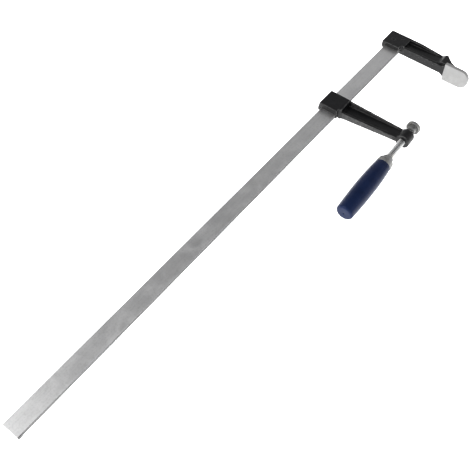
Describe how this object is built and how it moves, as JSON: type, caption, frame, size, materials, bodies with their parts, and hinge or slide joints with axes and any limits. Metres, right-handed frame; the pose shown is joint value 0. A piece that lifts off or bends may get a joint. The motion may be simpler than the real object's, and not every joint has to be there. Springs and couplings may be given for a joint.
{
  "type": "f clamp",
  "caption": "Long F clamp: a flat steel bar with a fixed cast jaw and a sliding cast jaw whose screw spindle carries a swivel pad and a turned handle.",
  "frame": {"origin": "bottom centre of the bounding box, with the clamp lying on its side; the bar's mid plane and the spindle axis are 18.5 mm above it", "axes": "+X from the bar to the jaw tips, +Y along the bar from its foot to the fixed jaw, +Z normal to the plane of the F"},
  "size_m": [0.182, 0.985, 0.037],
  "materials": {
    "bar_steel": "drawn flat steel, fine lengthwise grain",
    "jaw_paint": "semi-gloss black paint on cast iron",
    "zinc_plate": "bright zinc plating",
    "pin_steel": "hardened ground steel",
    "cap_plastic": "soft off-white translucent plastic",
    "handle_paint": "turned wood under gloss dark navy paint"
  },
  "bodies": {
    "rail": {"bar": "bar_steel", "fixed_jaw": "jaw_paint", "fixed_jaw_rivets": "jaw_paint"},
    "cap": {"jaw_cap": "cap_plastic"},
    "grip": {"grip_pin_rear": "pin_steel"},
    "jaw": {"sliding_jaw": "jaw_paint", "grip_pin_front": "pin_steel"},
    "nose": {"pad_snap_ring": "pin_steel"},
    "screw": {"spindle": "zinc_plate", "ferrule": "zinc_plate", "handle": "handle_paint"},
    "pad": {"swivel_pad": "zinc_plate"}
  },
  "joints": [
    {"name": "cap_pull", "type": "slide", "parent": "rail", "child": "cap", "axis": [1, 0, 0], "range_m": [0, 0.055]},
    {"name": "jaw_slide", "type": "slide", "parent": "rail", "child": "grip", "axis": [0, 1, 0], "range_m": [-0.72, 0.1]},
    {"name": "jaw_tilt", "type": "hinge", "parent": "grip", "child": "jaw", "pos_m": [-0.0858, 0.2755, 0.0185], "axis": [0, 0, 1], "range_deg": [-1.2, 1.6]},
    {"name": "screw_advance", "type": "slide", "parent": "jaw", "child": "nose", "axis": [-0.0349, 0.9994, 0], "range_m": [-0.006, 0.043]},
    {"name": "spindle_turn", "type": "hinge", "parent": "nose", "child": "screw", "pos_m": [0.06767, 0.30148, 0.0185], "axis": [-0.0349, 0.9994, 0], "range_deg": [-720, 5160]},
    {"name": "pad_tilt", "type": "hinge", "parent": "nose", "child": "pad", "pos_m": [0.06767, 0.30148, 0.0185], "axis": [0, 0, 1], "range_deg": [-10, 10]}
  ],
  "couplings": [
    {"joint": "screw_advance", "follows": "spindle_turn", "m_per_rad": 0.00047746}
  ]
}
